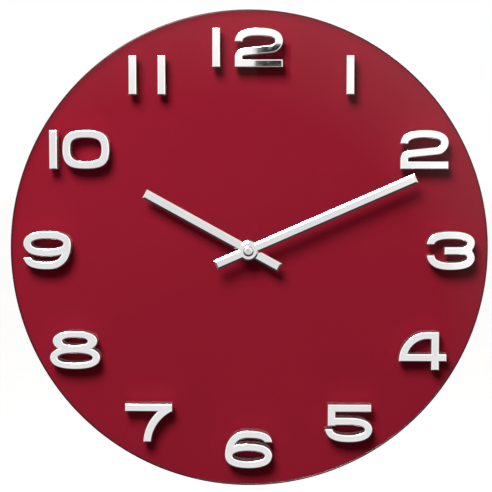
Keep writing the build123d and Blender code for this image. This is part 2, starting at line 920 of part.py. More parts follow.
with BuildPart() as movement_cover:
    with BuildSketch(at_height(movement_back)):
        RectangleRounded(movement_size, movement_size, case_corner)
        with Locations((0, cell_z)):
            Rectangle(2 * inner_half, bay_width, mode=Mode.SUBTRACT)
        with Locations(knob_axis):
            Circle(staff_diameter + pivot_clearance, mode=Mode.SUBTRACT)
    extrude(amount=cover_thickness)
    with BuildSketch(at_height(case_back - pivot_depth - cover_hole_gap)):
        with Locations(centre_axis, third_axis, step_axis, rotor_axis):
            Circle(hole_radius)
    extrude(amount=pivot_depth + cover_hole_gap, mode=Mode.SUBTRACT)
    cover_back = movement_cover.faces().sort_by(Axis.Y)[-1]
    chamfer(cover_back.outer_wire().edges(), length=cover_chamfer)
save(movement_cover, "movement_cover")

with BuildPart() as centre_bush:
    with BuildSketch(at_height(case_inner_front - bush_flange_thickness)):
        Circle(bush_diameter / 2 + bush_flange_width)
        Circle(bush_bore / 2, mode=Mode.SUBTRACT)
    extrude(amount=bush_flange_thickness)
    with BuildSketch(at_height(case_inner_front)):
        Circle(bush_diameter / 2)
        Circle(bush_bore / 2, mode=Mode.SUBTRACT)
    extrude(amount=bush_front - case_inner_front)
save(centre_bush, "centre_bush")

bridge_pivot = staff_diameter / 2 + pivot_clearance
third_opening = centre_module * (third_leaves + 4)  # lets the third wheel's pinion through
with BuildPart() as train_bridge:
    with BuildSketch(at_height(bridge_back)):
        with Locations(bridge_centre):
            RectangleRounded(bridge_width, bridge_height, bridge_corner)
        Circle(bridge_pivot, mode=Mode.SUBTRACT)
        with Locations(step_axis, rotor_axis):
            Circle(hole_radius, mode=Mode.SUBTRACT)
        with Locations(third_axis):
            Circle(third_opening / 2, mode=Mode.SUBTRACT)
        with Locations(knob_axis):
            Circle(staff_diameter + layer_gap, mode=Mode.SUBTRACT)
    extrude(amount=bridge_thickness)
save(train_bridge, "train_bridge")

# ---- Wheels -----------------------------------------------------------------------------

back_pivot_end = case_back - pivot_depth
front_pivot_end = case_inner_front + pivot_depth
rear_shoulder = case_back + end_shake
front_shoulder = case_inner_front - end_shake
bridge_shoulder = bridge_back - bridge_shake
bridge_middle = bridge_back + bridge_thickness / 2
magnet_back = seconds_layer + pinion_overhang


def wheel(axis, layer, teeth, module, turn, bore=0.0):
    """The toothed disc of a wheel."""
    return toothed(axis, layer, layer + wheel_thickness, teeth, module, turn, bore)


def pinion(axis, layer, teeth, module, turn):
    """A pinion, a little deeper than the disc that it meshes with."""
    back = layer - pinion_overhang
    front = layer + wheel_thickness + pinion_overhang
    return toothed(axis, back, front, teeth, module, turn)


rotor_pinion = joined(
    pinion(rotor_axis, step_layer, rotor_teeth, rotor_module, rotor_turn),
    staff(rotor_axis, rear_shoulder, bridge_shoulder, staff_diameter),
    staff(rotor_axis, back_pivot_end, bridge_front, pivot_diameter),
)
save(rotor_pinion, "rotor_pinion")

with BuildPart() as rotor_magnet:
    with BuildSketch(at_height(magnet_back)):
        with Locations(rotor_axis):
            Circle(magnet_diameter / 2)
            Circle(staff_diameter / 2, mode=Mode.SUBTRACT)
    extrude(amount=magnet_height)
save(rotor_magnet, "rotor_magnet")

step_wheel = joined(
    wheel(step_axis, step_layer, step_teeth, rotor_module, step_turn),
    pinion(step_axis, seconds_layer, step_leaves, step_module, step_turn),
    staff(step_axis, rear_shoulder, bridge_shoulder, staff_diameter),
    staff(step_axis, back_pivot_end, bridge_front, pivot_diameter),
)
save(step_wheel, "step_wheel")

seconds_wheel = joined(
    wheel(centre_axis, seconds_layer, seconds_teeth, step_module, seconds_turn),
    pinion(centre_axis, third_layer, seconds_leaves, third_module, seconds_turn),
    staff(centre_axis, rear_shoulder, bridge_middle - middle_gap, staff_diameter),
    staff(centre_axis, back_pivot_end, rear_shoulder, pivot_diameter),
)
save(seconds_wheel, "seconds_wheel")

third_wheel = joined(
    wheel(third_axis, third_layer, third_teeth, third_module, third_turn),
    pinion(third_axis, centre_layer, third_leaves, centre_module, third_turn),
    staff(third_axis, rear_shoulder, front_shoulder, staff_diameter),
    staff(third_axis, back_pivot_end, front_pivot_end, pivot_diameter),
)
save(third_wheel, "third_wheel")

centre_wheel = joined(
    wheel(centre_axis, centre_layer, centre_teeth, centre_module, 0.0, bore=lower_arbor)
)
save(centre_wheel, "centre_wheel")

with BuildPart() as clutch_spring:
    with BuildSketch(at_height(clutch_layer)):
        Circle(lower_arbor / 2 + clutch_ring_width)
        with PolarLocations(lower_arbor / 2 + clutch_arm_offset, 3):
            Rectangle(clutch_arm_length, clutch_arm_width)
        Circle(lower_arbor / 2, mode=Mode.SUBTRACT)
    extrude(amount=clutch_leaf)
    with BuildSketch(at_height(clutch_layer + clutch_leaf)):
        Circle(lower_arbor / 2 + clutch_ring_width)
        Circle(lower_arbor / 2, mode=Mode.SUBTRACT)
    extrude(amount=clutch_height - clutch_leaf)
save(clutch_spring, "clutch_spring")

cannon_back = clutch_layer + clutch_height
minute_arbor = joined(
    staff(centre_axis, bridge_middle + middle_gap, centre_layer, staff_diameter),
    staff(centre_axis, centre_layer, cannon_back, lower_arbor),
    pinion(centre_axis, minute_layer, cannon_leaves, cannon_module, 0.0),
    staff(centre_axis, cannon_back, minute_blade_front, arbor_diameter),
    staff(centre_axis, minute_blade_front, minute_blade_front + stub_length, stub_diameter),
)
save(minute_arbor, "minute_arbor")

minute_wheel = joined(
    wheel(minute_axis, minute_layer, minute_teeth, cannon_module, minute_turn),
    pinion(minute_axis, hour_layer, minute_leaves, hour_module, minute_turn),
    staff(minute_axis, minute_layer - end_shake, front_shoulder, staff_diameter),
    staff(minute_axis, front_shoulder, front_pivot_end, pivot_diameter),
)
save(minute_wheel, "minute_wheel")

with BuildPart() as hour_pipe:
    with BuildSketch(at_height(hour_layer)):
        Circle(pipe_diameter / 2)
        Circle(pipe_bore / 2, mode=Mode.SUBTRACT)
    extrude(amount=hour_blade_front - hour_layer)
hour_wheel = joined(
    wheel(centre_axis, hour_layer, hour_teeth, hour_module, hour_turn, bore=pipe_bore),
    hour_pipe.part,
)
save(hour_wheel, "hour_wheel")

knob_front = movement_back - knob_gap
with BuildPart() as knob_grip:
    with BuildSketch(at_height(knob_front - knob_height)):
        with Locations(knob_axis):
            Circle(knob_diameter / 2)
            with PolarLocations(knob_diameter / 2, knob_ridges):
                Circle(knob_groove / 2, mode=Mode.SUBTRACT)
    extrude(amount=knob_height)
setting_knob = joined(
    knob_grip.part,
    staff(knob_axis, knob_front, front_shoulder, 2 * staff_diameter),
    pinion(knob_axis, minute_layer, knob_leaves, cannon_module, knob_turn),
    staff(knob_axis, front_shoulder, front_pivot_end, pivot_diameter),
)
save(setting_knob, "setting_knob")

# ---- Motor and circuit ------------------------------------------------------------------

stator_back = magnet_back + (magnet_height - stator_thickness) / 2
stator_front = stator_back + stator_thickness
coil_z = rotor_axis[1] + coil_rise
arm_height = coil_rise + stator_arm_end
arm_x = stator_length / 2 - stator_arm_width / 2
screw_places = tuple((rotor_axis[0] + side * arm_x, coil_z) for side in (-1, 1))
with BuildPart() as stator:
    with BuildSketch(at_height(stator_back)):
        with Locations(rotor_axis):
            RectangleRounded(stator_length, stator_width, stator_corner)
            with Locations((-arm_x, 0), (arm_x, 0)):
                Rectangle(stator_arm_width, arm_height, align=(Align.CENTER, Align.MIN))
            Circle(magnet_diameter / 2 + layer_gap, mode=Mode.SUBTRACT)
        with Locations(*screw_places):
            Circle(motor_screw_diameter / 2, mode=Mode.SUBTRACT)
    extrude(amount=stator_thickness)
save(stator, "stator")

with BuildPart() as coil_core:
    with BuildSketch(at_height(stator_front)):
        with Locations((rotor_axis[0], coil_z)):
            Rectangle(stator_length, core_width)
        with Locations(*screw_places):
            Circle(motor_screw_diameter / 2, mode=Mode.SUBTRACT)
    extrude(amount=core_thickness)
save(coil_core, "coil_core")

coil_height = stator_front + core_thickness / 2
winding_length = coil_length - 2 * flange_thickness
tube_radius = tube_diameter / 2
with BuildPart() as coil_bobbin:
    for offset_x in (-coil_length / 2, coil_length / 2 - flange_thickness):
        with BuildSketch(Plane.YZ.offset(rotor_axis[0] + offset_x)):
            with Locations((-coil_height, coil_z)):
                Circle(coil_radius)
        extrude(amount=flange_thickness)
    with BuildSketch(Plane.YZ.offset(rotor_axis[0] - coil_length / 2)):
        with Locations((-coil_height, coil_z)):
            Circle(tube_radius)
    extrude(amount=coil_length)
    with BuildSketch(Plane.YZ.offset(rotor_axis[0] - coil_length / 2)):
        with Locations((-coil_height, coil_z)):
            Rectangle(core_thickness, core_width)
    extrude(amount=coil_length, mode=Mode.SUBTRACT)
save(coil_bobbin, "coil_bobbin")

with BuildPart() as coil_winding:
    with BuildSketch(Plane.YZ.offset(rotor_axis[0] - winding_length / 2)):
        with Locations((-coil_height, coil_z)):
            Circle(coil_radius - winding_inset)
            Circle(tube_radius, mode=Mode.SUBTRACT)
    extrude(amount=winding_length)
save(coil_winding, "coil_winding")

with BuildPart() as stator_screws:
    core_front = stator_front + core_thickness
    with BuildSketch(at_height(stator_back)):
        with Locations(*screw_places):
            Circle(motor_screw_diameter / 2)
    extrude(amount=core_front - stator_back)
    with BuildSketch(at_height(core_front)):
        with Locations(*screw_places):
            Circle(motor_screw_head / 2)
    extrude(amount=motor_screw_head_height)
    with BuildSketch(at_height(core_front + motor_screw_head_height - motor_screw_slot_depth)):
        with Locations(*screw_places):
            Rectangle(2 * motor_screw_head, motor_screw_slot_width)
    extrude(amount=motor_screw_slot_depth, mode=Mode.SUBTRACT)
save(stator_screws, "stator_screws")

with BuildPart() as circuit_board:
    with BuildSketch(at_height(board_back)):
        with Locations((board_x, board_z)):
            Rectangle(board_size, board_size)
    extrude(amount=board_thickness)
save(circuit_board, "circuit_board")

with BuildPart() as chip_blob:
    with BuildSketch(at_height(board_back - chip_height)):
        with Locations((board_x + chip_offset, board_z - chip_offset)):
            Circle(chip_diameter / 2)
    extrude(amount=chip_height)
    fillet(chip_blob.edges().sort_by(Axis.Y)[-1], radius=chip_rounding)
save(chip_blob, "chip_blob")

crystal_radius = crystal_diameter / 2
crystal_start = board_x - 4.5
crystal_z = board_z + 3.5
with BuildPart() as quartz_crystal:
    with BuildSketch(Plane.YZ.offset(crystal_start)):
        with Locations((-(board_back - crystal_radius), crystal_z)):
            Circle(crystal_radius)
    extrude(amount=crystal_length)
    fillet(quartz_crystal.edges().sort_by(Axis.X)[0], radius=crystal_rounding)
save(quartz_crystal, "quartz_crystal")

# ---- Cell and contacts ------------------------------------------------------------------

strap_low = cell_z - strap_drop
for side, name in ((1, "contact_positive"), (-1, "contact_negative")):
    with BuildPart() as contact:
        strap_start = strap_face if side > 0 else -strap_face - strap_thickness
        with BuildSketch(Plane.YZ.offset(strap_start)):
            with Locations((-cell_height, strap_low)):
                Rectangle(strap_width, strap_top - strap_low, align=(Align.CENTER, Align.MIN))
        extrude(amount=strap_thickness)
        if side < 0:
            wire_radius = spring_wire / 2
            with BuildLine():
                coil_path = Helix(
                    pitch=spring_pitch,
                    height=spring_rise,
                    radius=spring_radius,
                    center=(-strap_face + wire_radius / 2, -cell_height, cell_z),
                    direction=(1, 0, 0),
                    cone_angle=-spring_cone,
                )
            with BuildSketch(Plane(origin=coil_path @ 0, z_dir=coil_path % 0)):
                Circle(wire_radius)
            sweep(path=coil_path)
    save(contact, name)

with BuildPart() as cell_can:
    with BuildSketch(Plane.YZ.offset(cell_left)):
        with Locations((-cell_height, cell_z)):
            Circle(cell_diameter / 2 - sleeve_thickness)
    extrude(amount=cell_length - nub_length)
    with BuildSketch(Plane.YZ.offset(cell_right - nub_length)):
        with Locations((-cell_height, cell_z)):
            Circle(nub_diameter / 2)
    extrude(amount=nub_length)
    fillet(cell_can.edges().sort_by(Axis.X)[-1], radius=cell_rounding)
save(cell_can, "cell_can")

with BuildPart() as cell_sleeve:
    with BuildSketch(Plane.YZ.offset(cell_left)):
        with Locations((-cell_height, cell_z)):
            Circle(cell_diameter / 2)
            Circle(cell_diameter / 2 - sleeve_thickness, mode=Mode.SUBTRACT)
    extrude(amount=cell_length - nub_length)
save(cell_sleeve, "cell_sleeve")
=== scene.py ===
"""Round glass wall clock: finishes, polished glass, stage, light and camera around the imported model."""

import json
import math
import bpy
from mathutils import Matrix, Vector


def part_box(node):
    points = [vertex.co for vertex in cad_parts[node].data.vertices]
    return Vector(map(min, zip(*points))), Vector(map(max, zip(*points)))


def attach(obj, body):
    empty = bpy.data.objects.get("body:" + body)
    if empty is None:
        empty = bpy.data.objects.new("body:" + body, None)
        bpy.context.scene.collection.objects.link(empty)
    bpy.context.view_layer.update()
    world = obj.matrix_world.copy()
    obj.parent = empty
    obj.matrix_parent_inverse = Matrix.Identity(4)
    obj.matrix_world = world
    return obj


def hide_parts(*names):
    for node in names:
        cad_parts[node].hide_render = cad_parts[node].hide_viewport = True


bl_info = {
    "name": "Glass wall clock",
    "version": (1, 0, 0),
    "blender": (4, 5, 0),
    "location": "View3D > Sidebar > Wall clock",
    "description": "Builds the finishes, the glass dial and the stage of a round glass wall clock",
    "category": "Object",
}

import bmesh
import bpy
from mathutils import Matrix, Vector

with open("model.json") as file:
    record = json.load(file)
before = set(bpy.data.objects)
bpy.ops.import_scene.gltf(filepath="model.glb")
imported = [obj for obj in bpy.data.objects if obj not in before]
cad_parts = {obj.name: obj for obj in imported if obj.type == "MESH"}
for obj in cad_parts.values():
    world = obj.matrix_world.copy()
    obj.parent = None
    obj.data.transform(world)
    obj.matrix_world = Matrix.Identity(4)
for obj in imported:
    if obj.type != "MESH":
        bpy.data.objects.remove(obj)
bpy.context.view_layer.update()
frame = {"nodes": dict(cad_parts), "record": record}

NODES = frame["nodes"]
SLOT_OF = {part["node"]: part["material_slot"] for part in frame["record"]["subparts"]}
PAINT = {entry["slot"]: entry["base_color"][:3] for entry in frame["record"]["materials"]}
GLASS_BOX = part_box("glass_dial")
COLOUR_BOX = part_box("colour_layer")
MM = 0.001


# ------------------------------------------------------------------ settings


class ClockGlassSettings(bpy.types.PropertyGroup):
    """Sizes and colours of the glass disc and the colour behind it."""

    hole: bpy.props.FloatProperty(
        name="Shaft hole", description="Diameter of the hole for the hands' shaft",
        default=8.6 * MM, unit="LENGTH",
    )
    arris: bpy.props.FloatProperty(
        name="Arris", description="Width of the polished edge bevel", default=0.8 * MM, unit="LENGTH",
    )
    bond: bpy.props.FloatProperty(
        name="Bond",
        description="How far the glass keys into the colour coat, so that no air lies between them",
        default=0.02 * MM, unit="LENGTH",
    )
    steps: bpy.props.IntProperty(
        name="Rim steps", description="Segments around the rim, a multiple of four", default=256, min=32,
    )
    tint: bpy.props.FloatVectorProperty(
        name="Glass tint", description="Colour of the clear glass", subtype="COLOR",
        default=(0.97, 0.985, 0.975),
    )
    enamel: bpy.props.FloatVectorProperty(
        name="Dial colour", description="Main colour of the coat behind the glass", subtype="COLOR",
        default=(0.226, 0.0090, 0.0207),
    )
    # Edge colour is a painted reflection: the dark red that the coat shows inside the glass edge, painted on the
    # edge faces.
    edge: bpy.props.FloatVectorProperty(
        name="Edge colour", description="Colour that shows in the polished edge", subtype="COLOR",
        default=(0.060, 0.005, 0.009),
    )
    enamel_deep: bpy.props.FloatVectorProperty(
        name="Dial colour, deep", description="Darker tone that the coat drifts to", subtype="COLOR",
        default=(0.210, 0.0083, 0.0192),
    )


class ClockMetalSettings(bpy.types.PropertyGroup):
    """Colours and polish of the plated digits and hands."""

    numeral: bpy.props.FloatVectorProperty(
        name="Numeral plating", description="Colour of the plated digits", subtype="COLOR",
        default=(0.93, 0.93, 0.94),
    )
    hand: bpy.props.FloatVectorProperty(
        name="Hand plating", description="Colour of the polished hands", subtype="COLOR",
        default=(0.86, 0.87, 0.88),
    )
    waviness: bpy.props.FloatProperty(
        name="Waviness", description="Height of the slow waves in the plated digits",
        default=0.10 * MM, unit="LENGTH",
    )
    minute_rest: bpy.props.FloatProperty(
        name="Minute hand rest", description="Clockwise angle of the minute hand from twelve",
        default=math.radians(66.4), unit="ROTATION",
    )
    hour_rest: bpy.props.FloatProperty(
        name="Hour hand rest", description="Clockwise angle of the hour hand from twelve",
        default=math.radians(298.8), unit="ROTATION",
    )


class ClockStageSettings(bpy.types.PropertyGroup):
    """Floor, light and camera."""

    floor_drop: bpy.props.FloatProperty(
        name="Floor drop", description="Height of the floor below the hands' axis", default=0.9, unit="LENGTH",
    )
    key_power: bpy.props.FloatProperty(
        name="Key power", description="Power of the key light in watts", default=68.0,
    )
    rear_power: bpy.props.FloatProperty(
        name="Rear power", description="Power of the lamp behind the clock in watts", default=24.0,
    )
    fill: bpy.props.FloatProperty(
        name="Fill", description="Strength of the soft light from all round", default=0.22,
    )
    softbox: bpy.props.FloatProperty(
        name="Softbox power", description="Power of the softbox that the plated pieces mirror", default=9.5,
    )
    distance: bpy.props.FloatProperty(
        name="Camera distance", description="From the aim point to the camera", default=1.1096, unit="LENGTH",
    )
    elevation: bpy.props.FloatProperty(
        name="Camera elevation", description="Above the horizon", default=math.radians(4.39), unit="ROTATION",
    )
    azimuth: bpy.props.FloatProperty(
        name="Camera azimuth", description="Round to the right", default=math.radians(0.98), unit="ROTATION",
    )
    lens: bpy.props.FloatProperty(
        name="Lens", description="Focal length in millimetres", default=111.07,
    )


# ------------------------------------------------------------------ shader groups


def new_group(name, inputs, outputs):
    """An empty shader group with named sockets, and its input and output nodes."""
    tree = bpy.data.node_groups.new(name, "ShaderNodeTree")
    for label, kind, value in inputs:
        socket = tree.interface.new_socket(name=label, in_out="INPUT", socket_type="NodeSocket" + kind)
        if value is not None:
            socket.default_value = value
    for label, kind in outputs:
        tree.interface.new_socket(name=label, in_out="OUTPUT", socket_type="NodeSocket" + kind)
    return tree, tree.nodes.new("NodeGroupInput"), tree.nodes.new("NodeGroupOutput")


def noise(tree, vector, scale, detail=2.0, roughness=0.5):
    """A noise texture; scale may be a number or a socket."""
    node = tree.nodes.new("ShaderNodeTexNoise")
    node.inputs["Detail"].default_value = detail
    node.inputs["Roughness"].default_value = roughness
    tree.links.new(vector, node.inputs["Vector"])
    if isinstance(scale, (int, float)):
        node.inputs["Scale"].default_value = scale
    else:
        tree.links.new(scale, node.inputs["Scale"])
    return node.outputs["Fac"]


def spread(tree, value, low_in, high_in, low_out=0.0, high_out=1.0):
    """The value moved from one range to another, clamped. The new ends may be sockets."""
    node = tree.nodes.new("ShaderNodeMapRange")
    tree.links.new(value, node.inputs["Value"])
    ends = {"From Min": low_in, "From Max": high_in, "To Min": low_out, "To Max": high_out}
    for label, end in ends.items():
        if isinstance(end, (int, float)):
            node.inputs[label].default_value = end
        else:
            tree.links.new(end, node.inputs[label])
    return node.outputs["Result"]


def arithmetic(tree, operation, first, second=None):
    """A Math node on sockets or numbers."""
    node = tree.nodes.new("ShaderNodeMath")
    node.operation = operation
    for index, value in enumerate((first, second)):
        if value is None:
            continue
        if isinstance(value, (int, float)):
            node.inputs[index].default_value = value
        else:
            tree.links.new(value, node.inputs[index])
    return node.outputs["Value"]


def blend_colours(tree, mask, first, second):
    """A colour mix by a mask. The colours may be sockets or tuples."""
    node = tree.nodes.new("ShaderNodeMix")
    node.data_type = "RGBA"
    tree.links.new(mask, node.inputs["Factor"])
    for label, colour in (("A", first), ("B", second)):
        socket = [s for s in node.inputs if s.name == label and s.type == "RGBA"][0]
        if isinstance(colour, bpy.types.NodeSocket):
            tree.links.new(colour, socket)
        else:
            socket.default_value = (*colour[:3], 1.0)
    return [s for s in node.outputs if s.type == "RGBA"][0]


def tone_drift_group():
    """Slow drift of a colour between two tones."""
    tree, enter, leave = new_group(
        "Tone drift",
        [("Vector", "Vector", None), ("Base", "Color", (0.5, 0.5, 0.5, 1)),
         ("Second", "Color", (0.4, 0.4, 0.4, 1)), ("Scale", "Float", 20.0)],
        [("Color", "Color"), ("Mask", "Float")],
    )
    cloud = noise(tree, enter.outputs["Vector"], enter.outputs["Scale"], 3.0, 0.6)
    mask = spread(tree, cloud, 0.35, 0.65)
    colour = blend_colours(tree, mask, enter.outputs["Base"], enter.outputs["Second"])
    tree.links.new(colour, leave.inputs["Color"])
    tree.links.new(mask, leave.inputs["Mask"])
    return tree


def moulded_grain_group():
    """Fine grain of a moulded or cast skin, with slow changes of sheen."""
    tree, enter, leave = new_group(
        "Moulded grain",
        [("Vector", "Vector", None), ("Scale", "Float", 2000.0), ("Low", "Float", 0.4), ("High", "Float", 0.5)],
        [("Roughness", "Float"), ("Height", "Float")],
    )
    fine = noise(tree, enter.outputs["Vector"], enter.outputs["Scale"], 2.0, 0.6)
    slow_scale = arithmetic(tree, "MULTIPLY", enter.outputs["Scale"], 0.03)
    slow = noise(tree, enter.outputs["Vector"], slow_scale, 2.0, 0.5)
    sheen = spread(tree, slow, 0.3, 0.7, enter.outputs["Low"], enter.outputs["High"])
    tree.links.new(sheen, leave.inputs["Roughness"])
    tree.links.new(fine, leave.inputs["Height"])
    return tree


def brushed_lines_group():
    """Fine lines drawn along one direction, set by how far each axis is stretched."""
    tree, enter, leave = new_group(
        "Brushed lines",
        [("Vector", "Vector", None), ("Stretch", "Vector", (30, 3000, 3000)), ("Low", "Float", 0.2),
         ("High", "Float", 0.35)],
        [("Roughness", "Float"), ("Height", "Float")],
    )
    scaled = tree.nodes.new("ShaderNodeVectorMath")
    scaled.operation = "MULTIPLY"
    tree.links.new(enter.outputs["Vector"], scaled.inputs[0])
    tree.links.new(enter.outputs["Stretch"], scaled.inputs[1])
    line = noise(tree, scaled.outputs["Vector"], 1.0, 3.0, 0.7)
    sheen = spread(tree, line, 0.35, 0.65, enter.outputs["Low"], enter.outputs["High"])
    tree.links.new(sheen, leave.inputs["Roughness"])
    tree.links.new(line, leave.inputs["Height"])
    return tree


def turned_rings_group():
    """Lathe rings round the Y axis of the pattern."""
    tree, enter, leave = new_group(
        "Turned rings",
        [("Vector", "Vector", None), ("Rings per metre", "Float", 5000.0), ("Low", "Float", 0.2),
         ("High", "Float", 0.35)],
        [("Roughness", "Float"), ("Height", "Float")],
    )
    split = tree.nodes.new("ShaderNodeSeparateXYZ")
    tree.links.new(enter.outputs["Vector"], split.inputs["Vector"])
    across = arithmetic(tree, "MULTIPLY", split.outputs["X"], split.outputs["X"])
    up = arithmetic(tree, "MULTIPLY", split.outputs["Z"], split.outputs["Z"])
    radius = arithmetic(tree, "SQRT", arithmetic(tree, "ADD", across, up))
    phase = arithmetic(tree, "MULTIPLY", radius, enter.outputs["Rings per metre"])
    wave = arithmetic(tree, "SINE", arithmetic(tree, "MULTIPLY", phase, math.tau))
    ring = spread(tree, wave, -1.0, 1.0)
    cloud = noise(tree, enter.outputs["Vector"], 900.0, 2.0, 0.5)
    mixed = arithmetic(tree, "MULTIPLY", ring, cloud)
    sheen = spread(tree, mixed, 0.1, 0.7, enter.outputs["Low"], enter.outputs["High"])
    tree.links.new(sheen, leave.inputs["Roughness"])
    tree.links.new(ring, leave.inputs["Height"])
    return tree


def cells_group():
    """Cells with soft borders, for zinc bloom and foam."""
    tree, enter, leave = new_group(
        "Cells",
        [("Vector", "Vector", None), ("Scale", "Float", 800.0), ("Low", "Float", 0.3), ("High", "Float", 0.5)],
        [("Roughness", "Float"), ("Height", "Float"), ("Mask", "Float")],
    )
    cell = tree.nodes.new("ShaderNodeTexVoronoi")
    tree.links.new(enter.outputs["Vector"], cell.inputs["Vector"])
    tree.links.new(enter.outputs["Scale"], cell.inputs["Scale"])
    shade = tree.nodes.new("ShaderNodeSeparateColor")
    tree.links.new(cell.outputs["Color"], shade.inputs["Color"])
    sheen = spread(tree, shade.outputs["Red"], 0.0, 1.0, enter.outputs["Low"], enter.outputs["High"])
    tree.links.new(sheen, leave.inputs["Roughness"])
    tree.links.new(cell.outputs["Distance"], leave.inputs["Height"])
    tree.links.new(shade.outputs["Green"], leave.inputs["Mask"])
    return tree


def handling_marks_group():
    """Faint smears and wipes that dull a polished surface in places."""
    tree, enter, leave = new_group(
        "Handling marks",
        [("Vector", "Vector", None), ("Scale", "Float", 12.0), ("Low", "Float", 0.02), ("High", "Float", 0.08)],
        [("Roughness", "Float"), ("Height", "Float")],
    )
    slow = noise(tree, enter.outputs["Vector"], enter.outputs["Scale"], 4.0, 0.65)
    smear = spread(tree, slow, 0.48, 0.75, enter.outputs["Low"], enter.outputs["High"])
    tree.links.new(smear, leave.inputs["Roughness"])
    tree.links.new(slow, leave.inputs["Height"])
    return tree


GROUP_MAKERS = {
    "Tone drift": tone_drift_group,
    "Moulded grain": moulded_grain_group,
    "Brushed lines": brushed_lines_group,
    "Turned rings": turned_rings_group,
    "Cells": cells_group,
    "Handling marks": handling_marks_group,
}


def placed_group(tree, name, vector, **values):
    """One of the shared groups placed in a material with its own values."""
    shared = bpy.data.node_groups.get(name) or GROUP_MAKERS[name]()
    node = tree.nodes.new("ShaderNodeGroup")
    node.node_tree = shared
    tree.links.new(vector, node.inputs["Vector"])
    for label, value in values.items():
        socket = node.inputs[label.replace("_", " ")]
        socket.default_value = (*value[:3], 1.0) if socket.type == "RGBA" else value
    return node


# ------------------------------------------------------------------ finishes


class Finish:
    """A procedural material in the making: its tree, its shader and its Object coordinates."""

    def __init__(self, name, metallic=0.0, ior=1.5, coat=0.0, turn=0.0):
        self.material = bpy.data.materials.new(name)
        self.material.use_nodes = True
        self.tree = self.material.node_tree
        self.shader = self.tree.nodes["Principled BSDF"]
        self.shader.inputs["Metallic"].default_value = metallic
        self.shader.inputs["IOR"].default_value = ior
        self.shader.inputs["Coat Weight"].default_value = coat
        self.shader.inputs["Coat Roughness"].default_value = 0.08
        source = self.tree.nodes.new("ShaderNodeTexCoord")
        self.vector = source.outputs["Object"]
        if turn:
            placing = self.tree.nodes.new("ShaderNodeMapping")
            placing.vector_type = "TEXTURE"
            placing.inputs["Rotation"].default_value = (0.0, turn, 0.0)
            self.tree.links.new(self.vector, placing.inputs["Vector"])
            self.vector = placing.outputs["Vector"]

    def colour(self, base, second, scale):
        """Base colour that drifts between two tones."""
        drift = placed_group(self.tree, "Tone drift", self.vector, Base=base, Second=second, Scale=scale)
        self.tree.links.new(drift.outputs["Color"], self.shader.inputs["Base Color"])
        return drift

    def surface(self, group, depth, strength=1.0, **values):
        """Roughness and bump from a shared group. The depth is the bump's height in metres."""
        skin = placed_group(self.tree, group, self.vector, **values)
        self.tree.links.new(skin.outputs["Roughness"], self.shader.inputs["Roughness"])
        bump = self.tree.nodes.new("ShaderNodeBump")
        bump.inputs["Strength"].default_value = strength
        bump.inputs["Distance"].default_value = depth
        self.tree.links.new(skin.outputs["Height"], bump.inputs["Height"])
        self.tree.links.new(bump.outputs["Normal"], self.shader.inputs["Normal"])
        self.bump = bump
        return skin

    def second_bump(self, height, depth, strength=1.0):
        """One more bump under the first."""
        lower = self.tree.nodes.new("ShaderNodeBump")
        lower.inputs["Strength"].default_value = strength
        lower.inputs["Distance"].default_value = depth
        self.tree.links.new(height, lower.inputs["Height"])
        self.tree.links.new(lower.outputs["Normal"], self.bump.inputs["Normal"])


def scaled(colour, factor):
    """A colour made lighter or darker."""
    return tuple(min(1.0, channel * factor) for channel in colour)


def let_lamps_through(finish, tint):
    """Lets lamps and soft light shine through a finish, tinted, as they do through clear glass."""
    tree = finish.tree
    clear = tree.nodes.new("ShaderNodeBsdfTransparent")
    clear.inputs["Color"].default_value = (*tint, 1.0)
    path = tree.nodes.new("ShaderNodeLightPath")
    lamps = arithmetic(tree, "MAXIMUM", path.outputs["Is Shadow Ray"], path.outputs["Is Diffuse Ray"])
    mixer = tree.nodes.new("ShaderNodeMixShader")
    tree.links.new(lamps, mixer.inputs[0])
    tree.links.new(finish.shader.outputs["BSDF"], mixer.inputs[1])
    tree.links.new(clear.outputs["BSDF"], mixer.inputs[2])
    tree.links.new(mixer.outputs["Shader"], tree.nodes["Material Output"].inputs["Surface"])


def glass_finish(settings):
    """Clear polished glass. Lamps shine through it to the coat behind."""
    finish = Finish("clear glass", ior=1.5)
    finish.shader.inputs["Base Color"].default_value = (*settings.tint, 1.0)
    finish.shader.inputs["Transmission Weight"].default_value = 1.0
    finish.surface("Handling marks", 0.01 * MM, 0.02, Scale=9.0, Low=0.0, High=0.03)
    let_lamps_through(finish, (0.96, 0.97, 0.965))
    return finish.material


def painted_edge_reflection_finish(settings):
    """The polished edge, opaque and dark red: a painted reflection of the red coat as it shows inside the glass
    edge, in place of clear glass.
    """
    finish = Finish("glass edge")
    finish.shader.inputs["Specular IOR Level"].default_value = 0.25
    # Painted reflection: the opaque edge takes a dark red that stands in for the red coat seen inside the glass.
    finish.colour(settings.edge, scaled(settings.edge, 0.7), 25.0)
    finish.surface("Handling marks", 0.01 * MM, 0.05, Scale=60.0, Low=0.25, High=0.40)
    let_lamps_through(finish, (0.75, 0.75, 0.75))
    return finish.material


def enamel_finish(settings):
    """The deep red coat behind the glass."""
    finish = Finish("red coat")
    finish.shader.inputs["Specular IOR Level"].default_value = 0.0
    finish.colour(settings.enamel, settings.enamel_deep, 5.0)
    finish.surface("Moulded grain", 0.01 * MM, 0.1, Scale=1500.0, Low=0.45, High=0.55)
    return finish.material


def numeral_finish(settings):
    """Chrome plate on moulded digits, with the slow waves that moulding leaves."""
    finish = Finish("numeral chrome", metallic=1.0)
    finish.colour(settings.numeral, scaled(settings.numeral, 0.97), 60.0)
    finish.surface("Handling marks", 0.005 * MM, 0.1, Scale=150.0, Low=0.03, High=0.09)
    wave = noise(finish.tree, finish.vector, 45.0, 1.0, 0.4)
    finish.second_bump(wave, settings.waviness)
    return finish.material


def hand_finish(name, settings, turn):
    """Polished metal with fine lines drawn along the hand."""
    finish = Finish(name, metallic=1.0, turn=turn)
    finish.colour(settings.hand, scaled(settings.hand, 0.96), 40.0)
    finish.surface("Brushed lines", 0.004 * MM, 0.15, Stretch=(25.0, 2500.0, 2500.0), Low=0.07, High=0.14)
    return finish.material


